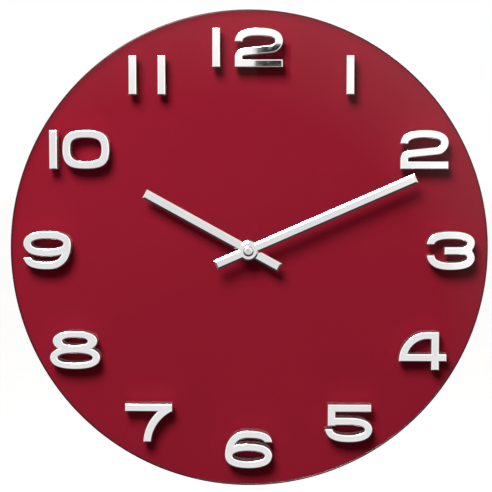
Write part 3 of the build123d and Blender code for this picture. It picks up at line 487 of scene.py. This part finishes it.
def cap_finish(settings):
    """Spun metal cap."""
    finish = Finish("cap metal", metallic=1.0)
    finish.colour(scaled(settings.hand, 0.76), scaled(settings.hand, 0.70), 300.0)
    finish.surface("Turned rings", 0.01 * MM, 0.2, Rings_per_metre=4000.0, Low=0.16, High=0.28)
    return finish.material


def brass_finish():
    """Turned brass, a little dulled."""
    finish = Finish("turned brass", metallic=1.0)
    finish.colour(PAINT["brass"], scaled(PAINT["brass"], 0.82), 200.0)
    finish.surface("Turned rings", 0.01 * MM, 0.4, Rings_per_metre=5000.0, Low=0.22, High=0.38)
    return finish.material


def moulding_finish(name, colour, low, high, grain=2500.0, depth=0.03 * MM, drift=0.85, coat=0.0):
    """A moulded plastic or rubber skin."""
    finish = Finish(name, coat=coat)
    finish.colour(colour, scaled(colour, drift), 30.0)
    finish.surface("Moulded grain", depth, 0.35, Scale=grain, Low=low, High=high)
    return finish.material


def foam_finish():
    """Foam tape with open cells."""
    finish = Finish("foam tape")
    finish.colour(PAINT["adhesive_foam"], scaled(PAINT["adhesive_foam"], 1.5), 120.0)
    finish.surface("Cells", 0.08 * MM, 0.6, Scale=2200.0, Low=0.75, High=0.95)
    return finish.material


def zinc_finish():
    """Zinc plate with its bloom of crystals."""
    finish = Finish("zinc plate", metallic=1.0)
    drift = finish.colour(PAINT["zinc_steel"], scaled(PAINT["zinc_steel"], 0.8), 90.0)
    skin = finish.surface("Cells", 0.01 * MM, 0.25, Scale=450.0, Low=0.28, High=0.46)
    tinted = blend_colours(finish.tree, skin.outputs["Mask"], drift.outputs["Color"], (0.62, 0.66, 0.70))
    finish.tree.links.new(tinted, finish.shader.inputs["Base Color"])
    return finish.material


def metal_finish(name, colour, stretch, low=0.2, high=0.36, drift=0.85):
    """Rolled or drawn metal with lines along one direction."""
    finish = Finish(name, metallic=1.0)
    finish.colour(colour, scaled(colour, drift), 120.0)
    finish.surface("Brushed lines", 0.006 * MM, 0.3, Stretch=stretch, Low=low, High=high)
    return finish.material


def copper_finish():
    """Enamelled copper wire lying in turns along the coil, with painted shade in the grooves between turns."""
    finish = Finish("coil wire", metallic=1.0, coat=0.5)
    drift = finish.colour(PAINT["copper"], scaled(PAINT["copper"], 0.75), 300.0)
    finish.surface("Moulded grain", 0.01 * MM, 0.2, Scale=3000.0, Low=0.25, High=0.4)
    split = finish.tree.nodes.new("ShaderNodeSeparateXYZ")
    finish.tree.links.new(finish.vector, split.inputs["Vector"])
    phase = arithmetic(finish.tree, "MULTIPLY", split.outputs["X"], math.tau / (0.16 * MM))
    turn = spread(finish.tree, arithmetic(finish.tree, "SINE", phase), -1.0, 1.0)
    finish.second_bump(turn, 0.05 * MM)
    # Painted shade: the copper is darkened in the grooves between the turns.
    painted_groove_shade = blend_colours(finish.tree, turn, scaled(PAINT["copper"], 0.35), drift.outputs["Color"])
    finish.tree.links.new(painted_groove_shade, finish.shader.inputs["Base Color"])
    return finish.material


def board_finish():
    """Lacquered circuit board with buried tracks."""
    finish = Finish("circuit board lacquer", coat=0.6)
    drift = finish.colour(PAINT["board"], scaled(PAINT["board"], 0.8), 150.0)
    finish.surface("Moulded grain", 0.01 * MM, 0.3, Scale=4000.0, Low=0.3, High=0.4)
    split = finish.tree.nodes.new("ShaderNodeSeparateXYZ")
    finish.tree.links.new(finish.vector, split.inputs["Vector"])
    step = arithmetic(finish.tree, "ROUND", arithmetic(finish.tree, "MULTIPLY", split.outputs["Z"], 350.0))
    bend = arithmetic(finish.tree, "MULTIPLY", arithmetic(finish.tree, "SINE", step), 0.8 * MM)
    along = arithmetic(finish.tree, "ADD", split.outputs["X"], bend)
    wave = arithmetic(finish.tree, "SINE", arithmetic(finish.tree, "MULTIPLY", along, math.tau / (1.3 * MM)))
    track = spread(finish.tree, wave, 0.55, 0.7)
    lighter = scaled(PAINT["board"], 1.6)
    traced = blend_colours(finish.tree, track, drift.outputs["Color"], lighter)
    finish.tree.links.new(traced, finish.shader.inputs["Base Color"])
    finish.second_bump(track, 0.03 * MM)
    return finish.material


def sleeve_finish():
    """Shrink sleeve of the cell: a dark body with a copper-coloured band at one end."""
    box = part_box("cell_sleeve")
    finish = Finish("cell sleeve film", coat=0.7)
    drift = finish.colour(PAINT["cell_wrap"], scaled(PAINT["cell_wrap"], 0.8), 60.0)
    finish.surface("Moulded grain", 0.02 * MM, 0.2, Scale=700.0, Low=0.22, High=0.32)
    split = finish.tree.nodes.new("ShaderNodeSeparateXYZ")
    finish.tree.links.new(finish.vector, split.inputs["Vector"])
    band_start = box[1].x - 0.28 * (box[1].x - box[0].x)
    band = spread(finish.tree, split.outputs["X"], band_start, band_start + 0.15 * MM)
    banded = blend_colours(finish.tree, band, drift.outputs["Color"], (0.56, 0.25, 0.09))
    finish.tree.links.new(banded, finish.shader.inputs["Base Color"])
    return finish.material


def magnet_finish():
    """Pressed magnet powder."""
    finish = Finish("pressed magnet", metallic=0.6)
    finish.colour(PAINT["magnet"], scaled(PAINT["magnet"], 0.7), 900.0)
    finish.surface("Moulded grain", 0.02 * MM, 0.4, Scale=6000.0, Low=0.45, High=0.6)
    return finish.material


def paint(material, *names):
    """The material on the slots of these CAD nodes."""
    for name in names:
        for slot in NODES[name].material_slots:
            slot.material = material


def paint_slot(material, slot):
    """The material on every CAD node that takes this slot."""
    paint(material, *[name for name, own in SLOT_OF.items() if own == slot])


# ------------------------------------------------------------------ new pieces


def finished_piece(name, mesh_data, material, body, slot, *nodes):
    """A bmesh made into an object that rides on a body and stands for CAD nodes."""
    bmesh.ops.recalc_face_normals(mesh_data, faces=mesh_data.faces[:])
    mesh = bpy.data.meshes.new(name)
    mesh_data.to_mesh(mesh)
    mesh_data.free()
    mesh.materials.append(material)
    piece = bpy.data.objects.new(name, mesh)
    bpy.context.scene.collection.objects.link(piece)
    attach(piece, body)
    if nodes:
        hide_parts(*nodes)
    return piece


def spun_ring(inner, outer, back, front, steps):
    """A flat ring spun round the Y axis from a rectangle."""
    ring = bmesh.new()
    corners = [(inner, back), (outer, back), (outer, front), (inner, front)]
    points = [ring.verts.new((radius, y, 0.0)) for radius, y in corners]
    edges = [ring.edges.new((points[i], points[(i + 1) % 4])) for i in range(4)]
    bmesh.ops.spin(
        ring, geom=points + edges, cent=(0, 0, 0), axis=(0, 1, 0), angle=math.tau, steps=steps,
        use_merge=True, use_duplicate=False,
    )
    bmesh.ops.remove_doubles(ring, verts=ring.verts[:], dist=0.001 * MM)
    return ring


def on_ring(edge, radius, y):
    """True if both ends of an edge lie on this ring."""
    ends = [vertex.co for vertex in edge.verts]
    return all(abs(math.hypot(p.x, p.z) - radius) < 0.01 * MM and abs(p.y - y) < 0.001 * MM for p in ends)


def smooth_but_flats(shape):
    """Smooth shading round the walls, with the flat front and back kept truly flat."""
    shape.normal_update()
    for face in shape.faces:
        face.smooth = True
    for edge in shape.edges:
        flats = [abs(face.normal.y) > 0.999 for face in edge.link_faces]
        edge.smooth = all(flats) or not any(flats)


class WALLCLOCK_OT_glass_disc(bpy.types.Operator):
    """Polished glass disc with a rounded arris and a shaft hole"""

    bl_idname = "wallclock.glass_disc"
    bl_label = "Glass disc"

    def execute(self, context):
        settings = context.scene.clock_glass
        low, high = GLASS_BOX
        outer = min(-low.x, high.x, -low.z, high.z)
        back, front = high.y + settings.bond, low.y
        disc = spun_ring(settings.hole / 2, outer, back, front, settings.steps)
        rim = [e for e in disc.edges if on_ring(e, outer, front) or on_ring(e, outer, back)]
        bmesh.ops.bevel(
            disc, geom=rim, offset=settings.arris, affect="EDGES", segments=3, profile=0.5, material=-1,
        )
        smooth_but_flats(disc)
        for face in disc.faces:
            middle = face.calc_center_median()
            on_edge = math.hypot(middle.x, middle.z) > outer - settings.arris and abs(face.normal.y) < 0.98
            face.material_index = 1 if on_edge else 0
        piece = finished_piece("glass_disc", disc, glass_finish(settings), "clock_body", "glass", "glass_dial")
        # The rim faces take the second material, an opaque painted reflection of the red coat.
        piece.data.materials.append(painted_edge_reflection_finish(settings))
        return {"FINISHED"}


class WALLCLOCK_OT_colour_coat(bpy.types.Operator):
    """The opaque red coat on the back of the glass"""

    bl_idname = "wallclock.colour_coat"
    bl_label = "Colour coat"

    def execute(self, context):
        settings = context.scene.clock_glass
        low, high = COLOUR_BOX
        outer = min(-low.x, high.x, -low.z, high.z)
        coat = spun_ring(settings.hole / 2, outer, high.y, low.y, settings.steps)
        smooth_but_flats(coat)
        material = enamel_finish(settings)
        finished_piece("colour_coat", coat, material, "clock_body", "red_enamel", "colour_layer")
        return {"FINISHED"}


class WALLCLOCK_OT_numerals(bpy.types.Operator):
    """Chrome plate on the raised digits and the tape that holds them"""

    bl_idname = "wallclock.numerals"
    bl_label = "Numerals"

    def execute(self, context):
        paint_slot(numeral_finish(context.scene.clock_metal), "chrome_numerals")
        paint_slot(foam_finish(), "adhesive_foam")
        return {"FINISHED"}


class WALLCLOCK_OT_hands(bpy.types.Operator):
    """Polished hands and their cap"""

    bl_idname = "wallclock.hands"
    bl_label = "Hands"

    def execute(self, context):
        settings = context.scene.clock_metal
        quarter = math.radians(90)
        paint(hand_finish("minute hand metal", settings, settings.minute_rest - quarter), "minute_hand")
        paint(hand_finish("hour hand metal", settings, settings.hour_rest - quarter), "hour_hand")
        paint(cap_finish(settings), "hand_cap")
        return {"FINISHED"}


class WALLCLOCK_OT_dial_fittings(bpy.types.Operator):
    """Turned brass bush, nut, washer and collets"""

    bl_idname = "wallclock.dial_fittings"
    bl_label = "Dial fittings"

    def execute(self, context):
        paint_slot(brass_finish(), "brass")
        return {"FINISHED"}


class WALLCLOCK_OT_rear_housing(bpy.types.Operator):
    """Textured housing, rubber gasket and wall pads"""

    bl_idname = "wallclock.rear_housing"
    bl_label = "Rear housing"

    def execute(self, context):
        housing = moulding_finish("housing moulding", PAINT["housing_plastic"], 0.42, 0.55, 1400.0, 0.06 * MM)
        paint_slot(housing, "housing_plastic")
        paint_slot(moulding_finish("soft rubber", PAINT["black_rubber"], 0.6, 0.8, 3000.0), "black_rubber")
        return {"FINISHED"}


class WALLCLOCK_OT_hanger(bpy.types.Operator):
    """Zinc plated keyhole plate and its screws"""

    bl_idname = "wallclock.hanger"
    bl_label = "Hanger"

    def execute(self, context):
        paint_slot(zinc_finish(), "zinc_steel")
        screw = metal_finish("screw metal", scaled(PAINT["zinc_steel"], 0.35), (900.0, 900.0, 900.0))
        paint(screw, "hanger_screws")
        return {"FINISHED"}


class WALLCLOCK_OT_movement_shell(bpy.types.Operator):
    """Case, cover and setting knob of the movement"""

    bl_idname = "wallclock.movement_shell"
    bl_label = "Movement shell"

    def execute(self, context):
        shell = moulding_finish("movement moulding", PAINT["movement_plastic"], 0.32, 0.44, 2600.0, 0.03 * MM)
        paint_slot(shell, "movement_plastic")
        paint_slot(moulding_finish("knob moulding", PAINT["knob_plastic"], 0.35, 0.45), "knob_plastic")
        return {"FINISHED"}


class WALLCLOCK_OT_wheel_train(bpy.types.Operator):
    """Wheels, bridge and arbor"""

    bl_idname = "wallclock.wheel_train"
    bl_label = "Wheel train"

    def execute(self, context):
        paint_slot(moulding_finish("wheel moulding", PAINT["wheel_plastic"], 0.3, 0.42, 5000.0), "wheel_plastic")
        paint_slot(moulding_finish("bridge moulding", PAINT["bridge_plastic"], 0.4, 0.5), "bridge_plastic")
        paint_slot(metal_finish("bright steel", PAINT["steel"], (2500.0, 60.0, 2500.0)), "steel")
        spring = metal_finish("spring strip", PAINT["spring_steel"], (60.0, 2500.0, 2500.0), 0.16, 0.28)
        paint_slot(spring, "spring_steel")
        return {"FINISHED"}


class WALLCLOCK_OT_motor(bpy.types.Operator):
    """Coil, bobbin and rotor magnet"""

    bl_idname = "wallclock.motor"
    bl_label = "Motor"

    def execute(self, context):
        paint_slot(copper_finish(), "copper")
        paint_slot(moulding_finish("bobbin moulding", PAINT["bobbin_plastic"], 0.35, 0.45), "bobbin_plastic")
        paint_slot(magnet_finish(), "magnet")
        return {"FINISHED"}


class WALLCLOCK_OT_electronics(bpy.types.Operator):
    """Circuit board, its chip drop and the crystal"""

    bl_idname = "wallclock.electronics"
    bl_label = "Electronics"

    def execute(self, context):
        paint_slot(board_finish(), "board")
        paint_slot(moulding_finish("cured drop", PAINT["epoxy"], 0.12, 0.22, 900.0, 0.02 * MM, 0.7, 0.4), "epoxy")
        can = metal_finish("crystal can metal", PAINT["crystal_can"], (60.0, 3000.0, 3000.0), 0.14, 0.24)
        paint_slot(can, "crystal_can")
        return {"FINISHED"}


class WALLCLOCK_OT_cell(bpy.types.Operator):
    """The cell's can and its printed sleeve"""

    bl_idname = "wallclock.cell"
    bl_label = "Cell"

    def execute(self, context):
        paint_slot(metal_finish("cell can metal", PAINT["cell_steel"], (80.0, 2200.0, 2200.0)), "cell_steel")
        paint_slot(sleeve_finish(), "cell_wrap")
        return {"FINISHED"}


# ------------------------------------------------------------------ stage


def floor_finish():
    """Plain pale floor that stays near white."""
    finish = Finish("pale floor")
    finish.colour((0.94, 0.94, 0.94), (0.92, 0.92, 0.92), 1.5)
    finish.surface("Moulded grain", 0.1 * MM, 0.1, Scale=300.0, Low=0.7, High=0.8)
    finish.shader.inputs["Emission Color"].default_value = (1.0, 1.0, 1.0, 1.0)
    finish.shader.inputs["Emission Strength"].default_value = 0.7
    finish.material.cycles.emission_sampling = "NONE"
    return finish.material


def card_finish():
    """Matt black card."""
    return moulding_finish("black card", (0.01, 0.01, 0.01), 0.8, 0.9)


def flat_sheet(name, material, width, height, place):
    """A flat sheet for the stage, facing up before it is placed."""
    sheet = bmesh.new()
    bmesh.ops.create_grid(sheet, x_segments=2, y_segments=2, size=0.5)
    bmesh.ops.scale(sheet, vec=(width, height, 1.0), verts=sheet.verts[:])
    bmesh.ops.transform(sheet, matrix=place, verts=sheet.verts[:])
    mesh = bpy.data.meshes.new(name)
    sheet.to_mesh(mesh)
    sheet.free()
    mesh.materials.append(material)
    piece = bpy.data.objects.new(name, mesh)
    bpy.context.scene.collection.objects.link(piece)
    return piece


def area_lamp(name, power, width, height, place, target):
    """A soft rectangular lamp aimed at a point."""
    lamp = bpy.data.lights.new(name, "AREA")
    lamp.shape = "RECTANGLE"
    lamp.size, lamp.size_y = width, height
    lamp.energy = power
    piece = bpy.data.objects.new(name, lamp)
    piece.location = place
    piece.rotation_mode = "QUATERNION"
    piece.rotation_quaternion = (Vector(target) - Vector(place)).to_track_quat("-Z", "Y")
    bpy.context.scene.collection.objects.link(piece)
    return piece


# Sides and places of the lamps and of the dark card, in metres from the hands' axis
KEY_SIDE, KEY_PLACE = 0.9, (-0.55, -1.35, 1.35)
REAR_SIDE, REAR_PLACE = 0.8, (0.8, 1.5, 1.0)
SOFTBOX_SIDE, SOFTBOX_PLACE = 1.9, (0.0, -1.75, 0.0)
CARD_WIDTH, CARD_HEIGHT, CARD_PLACE = 0.05, 0.06, (0.02, -1.2, 0.185)

# The dim front of the room: the way to its middle, and its dark and its faded radius
DIM_SIDE, DIM_RISE = math.radians(-3.0), math.radians(-8.0)
DIM_DARK, DIM_FADED = math.radians(9.3), math.radians(15.5)
ROOM_TINT = (1.0, 0.90, 0.84)


def studio_world(fill):
    """White to the camera, soft light on matt surfaces, a bright room with a dim front on polished ones."""
    world = bpy.data.worlds.new("studio")
    bpy.context.scene.world = world
    world.use_nodes = True
    tree = world.node_tree
    tree.nodes.clear()
    path = tree.nodes.new("ShaderNodeLightPath")
    source = tree.nodes.new("ShaderNodeTexCoord")
    ray = tree.nodes.new("ShaderNodeVectorMath")
    ray.operation = "NORMALIZE"
    tree.links.new(source.outputs["Generated"], ray.inputs[0])
    split = tree.nodes.new("ShaderNodeSeparateXYZ")
    tree.links.new(ray.outputs["Vector"], split.inputs["Vector"])
    lift = spread(tree, split.outputs["Z"], -0.45, -0.05, 0.04, 1.0)
    front = tree.nodes.new("ShaderNodeVectorMath")
    front.operation = "DOT_PRODUCT"
    tree.links.new(ray.outputs["Vector"], front.inputs[0])
    front.inputs[1].default_value = (
        math.sin(DIM_SIDE) * math.cos(DIM_RISE),
        -math.cos(DIM_SIDE) * math.cos(DIM_RISE),
        math.sin(DIM_RISE),
    )
    gate = spread(tree, front.outputs["Value"], math.cos(DIM_FADED), math.cos(DIM_DARK), 1.0, 0.0)
    room = arithmetic(tree, "MULTIPLY", lift, gate)

    def background(strength, tint=(1.0, 1.0, 1.0)):
        node = tree.nodes.new("ShaderNodeBackground")
        node.inputs["Color"].default_value = (*tint, 1.0)
        if isinstance(strength, (int, float)):
            node.inputs["Strength"].default_value = strength
        else:
            tree.links.new(strength, node.inputs["Strength"])
        return node.outputs["Background"]

    def choose(factor, first, second):
        node = tree.nodes.new("ShaderNodeMixShader")
        tree.links.new(factor, node.inputs[0])
        tree.links.new(first, node.inputs[1])
        tree.links.new(second, node.inputs[2])
        return node.outputs["Shader"]

    mirrored = arithmetic(tree, "MAXIMUM", path.outputs["Is Glossy Ray"], path.outputs["Is Transmission Ray"])
    polished = choose(mirrored, background(fill), background(room, ROOM_TINT))
    seen = choose(path.outputs["Is Camera Ray"], polished, background(1.0))
    output = tree.nodes.new("ShaderNodeOutputWorld")
    tree.links.new(seen, output.inputs["Surface"])


class WALLCLOCK_OT_stage(bpy.types.Operator):
    """Pale floor, soft lamps, the softbox for the plated pieces and the camera"""

    bl_idname = "wallclock.stage"
    bl_label = "Stage"

    def execute(self, context):
        settings = context.scene.clock_stage
        scene = context.scene
        floor = Matrix.Translation((0.0, 0.0, -settings.floor_drop))
        ground = flat_sheet("floor", floor_finish(), 40.0, 40.0, floor)
        ground.visible_glossy = False
        ground.visible_transmission = False
        ground.visible_diffuse = False
        studio_world(settings.fill)
        key = area_lamp("key lamp", settings.key_power, KEY_SIDE, KEY_SIDE, KEY_PLACE, (0.0, 0.0, 0.0))
        key.visible_camera = False
        rear = area_lamp("rear lamp", settings.rear_power, REAR_SIDE, REAR_SIDE, REAR_PLACE, (0.0, 0.0, 0.0))
        rear.visible_camera = False
        softbox = area_lamp(
            "front softbox", settings.softbox, SOFTBOX_SIDE, SOFTBOX_SIDE, SOFTBOX_PLACE, (0.0, 0.0, 0.0),
        )
        softbox.visible_camera = False
        plated = bpy.data.collections.new("plated pieces")
        for name, slot in SLOT_OF.items():
            if slot in ("chrome_numerals", "chrome_hands"):
                plated.objects.link(NODES[name])
        softbox.light_linking.receiver_collection = plated
        card_place = Matrix.Translation(CARD_PLACE) @ Matrix.Rotation(math.radians(90), 4, "X")
        card = flat_sheet("dark card", card_finish(), CARD_WIDTH, CARD_HEIGHT, card_place)
        card.visible_camera = False
        card.visible_diffuse = False
        card.visible_transmission = False
        camera_data = bpy.data.cameras.new("camera")
        camera_data.lens = settings.lens
        camera_data.sensor_width = 36.0
        camera_data.dof.use_dof = False
        camera = bpy.data.objects.new("camera", camera_data)
        scene.collection.objects.link(camera)
        aim = Vector((-1.89, -30.0, 3.23)) * MM
        back = Vector((
            math.sin(settings.azimuth) * math.cos(settings.elevation),
            -math.cos(settings.azimuth) * math.cos(settings.elevation),
            math.sin(settings.elevation),
        ))
        camera.location = aim + back * settings.distance
        camera.rotation_mode = "QUATERNION"
        camera.rotation_quaternion = (-back).to_track_quat("-Z", "Y")
        scene.camera = camera
        scene.view_settings.view_transform = "Standard"
        return {"FINISHED"}


# ------------------------------------------------------------------ panel and start


PIECE_OPERATORS = (
    WALLCLOCK_OT_glass_disc,
    WALLCLOCK_OT_colour_coat,
    WALLCLOCK_OT_numerals,
    WALLCLOCK_OT_hands,
    WALLCLOCK_OT_dial_fittings,
    WALLCLOCK_OT_rear_housing,
    WALLCLOCK_OT_hanger,
    WALLCLOCK_OT_movement_shell,
    WALLCLOCK_OT_wheel_train,
    WALLCLOCK_OT_motor,
    WALLCLOCK_OT_electronics,
    WALLCLOCK_OT_cell,
    WALLCLOCK_OT_stage,
)


class WALLCLOCK_PT_panel(bpy.types.Panel):
    """Settings and operators of the wall clock"""

    bl_idname = "WALLCLOCK_PT_panel"
    bl_label = "Wall clock"
    bl_space_type = "VIEW_3D"
    bl_region_type = "UI"
    bl_category = "Wall clock"

    def draw(self, context):
        for settings in (context.scene.clock_glass, context.scene.clock_metal, context.scene.clock_stage):
            box = self.layout.box()
            for name in settings.__annotations__:
                box.prop(settings, name)
        for operator in PIECE_OPERATORS:
            self.layout.operator(operator.bl_idname)


SETTINGS = {
    "clock_glass": ClockGlassSettings,
    "clock_metal": ClockMetalSettings,
    "clock_stage": ClockStageSettings,
}


def register():
    """Registers the settings, the operators and the panel."""
    for name, kind in SETTINGS.items():
        bpy.utils.register_class(kind)
        setattr(bpy.types.Scene, name, bpy.props.PointerProperty(type=kind))
    for kind in (*PIECE_OPERATORS, WALLCLOCK_PT_panel):
        bpy.utils.register_class(kind)


def unregister():
    """Undoes register."""
    for kind in (WALLCLOCK_PT_panel, *reversed(PIECE_OPERATORS)):
        bpy.utils.unregister_class(kind)
    for name, kind in reversed(SETTINGS.items()):
        delattr(bpy.types.Scene, name)
        bpy.utils.unregister_class(kind)


def main():
    """Registers everything and builds the clock in order."""
    register()
    bpy.ops.wallclock.glass_disc()
    bpy.ops.wallclock.colour_coat()
    bpy.ops.wallclock.numerals()
    bpy.ops.wallclock.hands()
    bpy.ops.wallclock.dial_fittings()
    bpy.ops.wallclock.rear_housing()
    bpy.ops.wallclock.hanger()
    bpy.ops.wallclock.movement_shell()
    bpy.ops.wallclock.wheel_train()
    bpy.ops.wallclock.motor()
    bpy.ops.wallclock.electronics()
    bpy.ops.wallclock.cell()
    bpy.ops.wallclock.stage()


if __name__ == "__main__":
    main()
